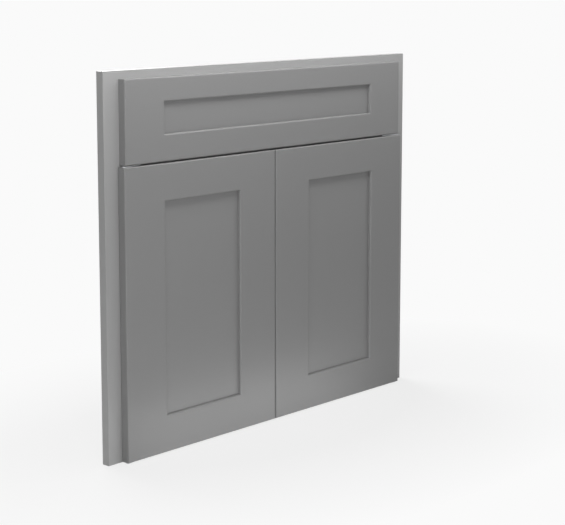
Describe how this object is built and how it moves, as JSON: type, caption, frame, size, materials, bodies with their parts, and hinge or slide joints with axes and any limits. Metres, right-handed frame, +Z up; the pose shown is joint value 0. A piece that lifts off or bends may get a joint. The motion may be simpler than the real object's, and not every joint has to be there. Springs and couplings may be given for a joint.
{
  "type": "sink base cabinet front",
  "caption": "Face frame with a fixed false drawer front across the top and a pair of framed, flat-panel doors on concealed pivot hinges, closed by a magnetic catch.",
  "frame": {"origin": "middle of the left stile's outer edge, where the front is fastened to the cabinet beside it", "axes": "+X to the right along the front, +Y to the back (the doors face -Y), +Z up"},
  "size_m": [0.9144, 0.0405, 0.7746],
  "materials": {
    "painted_wood": "satin grey paint",
    "steel": "zinc plated",
    "brass": "turned",
    "ferrite": "dull",
    "plastic": "matte",
    "bumper": "soft"
  },
  "bodies": {
    "frame": {"frame_stile_left": "painted_wood", "frame_stile_right": "painted_wood", "frame_rail_top": "painted_wood", "frame_rail_middle": "painted_wood", "frame_rail_bottom": "painted_wood", "false_front_stile_left": "painted_wood", "false_front_stile_right": "painted_wood", "false_front_rail_top": "painted_wood", "false_front_rail_bottom": "painted_wood", "false_front_panel": "painted_wood", "false_front_screw_top_left": "steel", "false_front_screw_top_right": "steel", "false_front_screw_bottom_left": "steel", "false_front_screw_bottom_right": "steel", "hinge_plate_left_top": "steel", "hinge_plate_left_bottom": "steel", "hinge_plate_right_top": "steel", "hinge_plate_right_bottom": "steel", "hinge_pin_left_top": "steel", "hinge_pin_left_bottom": "steel", "hinge_pin_right_top": "steel", "hinge_pin_right_bottom": "steel", "hinge_screw_left_top_outer": "steel", "hinge_screw_left_top_inner": "steel", "hinge_screw_left_bottom_outer": "steel", "hinge_screw_left_bottom_inner": "steel", "hinge_screw_right_top_outer": "steel", "hinge_screw_right_top_inner": "steel", "hinge_screw_right_bottom_outer": "steel", "hinge_screw_right_bottom_inner": "steel", "catch_housing": "plastic", "catch_magnet_left": "ferrite", "catch_magnet_right": "ferrite", "catch_screw_left": "steel", "catch_screw_right": "steel"},
    "left_door": {"left_door_hinge_stile": "painted_wood", "left_door_lock_stile": "painted_wood", "left_door_rail_top": "painted_wood", "left_door_rail_bottom": "painted_wood", "left_door_panel": "painted_wood", "left_door_bushing_top": "brass", "left_door_bushing_bottom": "brass", "left_door_strike": "steel", "left_door_strike_screw": "steel", "left_door_bumper_top": "bumper", "left_door_bumper_bottom": "bumper"},
    "right_door": {"right_door_hinge_stile": "painted_wood", "right_door_lock_stile": "painted_wood", "right_door_rail_top": "painted_wood", "right_door_rail_bottom": "painted_wood", "right_door_panel": "painted_wood", "right_door_bushing_top": "brass", "right_door_bushing_bottom": "brass", "right_door_strike": "steel", "right_door_strike_screw": "steel", "right_door_bumper_top": "bumper", "right_door_bumper_bottom": "bumper"}
  },
  "joints": [
    {"name": "left_door_hinge", "type": "hinge", "parent": "frame", "child": "left_door", "pos_m": [0.039, -0.02252, -0.0919], "axis": [0, 0, -1], "range_deg": [0, 110]},
    {"name": "right_door_hinge", "type": "hinge", "parent": "frame", "child": "right_door", "pos_m": [0.8754, -0.02252, -0.0919], "axis": [0, 0, 1], "range_deg": [0, 110]}
  ]
}
